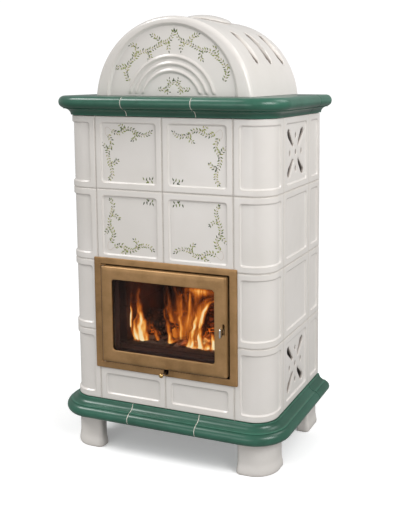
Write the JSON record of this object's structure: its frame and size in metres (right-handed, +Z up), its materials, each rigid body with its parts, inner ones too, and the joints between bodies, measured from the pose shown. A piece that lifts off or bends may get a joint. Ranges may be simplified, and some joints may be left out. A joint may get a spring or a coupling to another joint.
{
  "type": "tiled stove",
  "caption": "Free-standing wood stove clad in recessed glazed tiles between moulded plinth and cornice, with an arched slotted crown and a glazed fire door.",
  "frame": {"origin": "on the floor, under the middle of the whole stove from the latch tab in front to the end of the flue spigot behind", "axes": "+X to the right seen from the front, +Y to the back, +Z up"},
  "size_m": [0.755, 0.534, 1.3515],
  "materials": {
    "white_glaze": "glossy white glaze",
    "green_glaze": "glossy green glaze",
    "bronze": "satin bronze lacquer on steel",
    "brass": "polished",
    "black_steel": "matt black stove paint",
    "cast_iron": "raw cast",
    "polished_steel": "polished",
    "firebrick": "rough fireclay",
    "ceramic_glass": "clear glass ceramic",
    "seal_rope": "braided glass fibre",
    "galvanised": "galvanised sheet"
  },
  "bodies": {
    "stove": {"ash_pan": "galvanised", "baffle_plate": "black_steel", "base_frame": "black_steel", "corner_tile_left_1": "white_glaze", "corner_tile_left_2": "white_glaze", "corner_tile_left_3": "white_glaze", "corner_tile_left_4": "white_glaze", "corner_tile_right_1": "white_glaze", "corner_tile_right_2": "white_glaze", "corner_tile_right_3": "white_glaze", "corner_tile_right_4": "white_glaze", "cornice_corner_left": "green_glaze", "cornice_corner_right": "green_glaze", "cornice_front": "green_glaze", "cornice_rear_left": "green_glaze", "cornice_rear_right": "green_glaze", "crown": "white_glaze", "door_frame": "bronze", "firebox_body": "black_steel", "firebrick_back": "firebrick", "firebrick_left": "firebrick", "firebrick_right": "firebrick", "flue_spigot": "black_steel", "foot_front_left": "white_glaze", "foot_front_right": "white_glaze", "foot_rear_left": "white_glaze", "foot_rear_right": "white_glaze", "front_half_tile_left": "white_glaze", "front_half_tile_right": "white_glaze", "front_tile_left_1": "white_glaze", "front_tile_left_2": "white_glaze", "front_tile_right_1": "white_glaze", "front_tile_right_2": "white_glaze", "hearth_grate": "cast_iron", "hinge_rod": "polished_steel", "log_retainer": "cast_iron", "plinth_corner_left": "green_glaze", "plinth_corner_right": "green_glaze", "plinth_front": "green_glaze", "plinth_rear_left": "green_glaze", "plinth_rear_right": "green_glaze", "rear_panel": "galvanised", "rear_tiles_left": "white_glaze", "rear_tiles_right": "white_glaze", "side_tile_left_2": "white_glaze", "side_tile_left_3": "white_glaze", "side_tile_right_2": "white_glaze", "side_tile_right_3": "white_glaze", "vent_tile_left_1": "white_glaze", "vent_tile_left_4": "white_glaze", "vent_tile_right_1": "white_glaze", "vent_tile_right_4": "white_glaze"},
    "door": {"door_panel": "bronze", "door_glass": "ceramic_glass", "glass_frame": "black_steel", "door_seal": "seal_rope"},
    "latch": {"latch_lever": "polished_steel"},
    "air_control": {"air_slide": "polished_steel", "air_knob": "brass"},
    "lid": {"flue_cap": "white_glaze"}
  },
  "joints": [
    {"name": "door_hinge", "type": "hinge", "parent": "stove", "child": "door", "pos_m": [-0.202, -0.233, 0.43925], "axis": [0, 0, -1], "range_deg": [0, 110]},
    {"name": "latch_turn", "type": "hinge", "parent": "door", "child": "latch", "pos_m": [0.2, -0.22, 0.4295], "axis": [-1, 0, 0], "range_deg": [0, 20]},
    {"name": "air_control_pull", "type": "slide", "parent": "stove", "child": "air_control", "axis": [0, -1, 0], "range_m": [0, 0.03]},
    {"name": "lid_lift", "type": "slide", "parent": "stove", "child": "lid", "axis": [0, 0, 1], "range_m": [0, 0.06]}
  ]
}
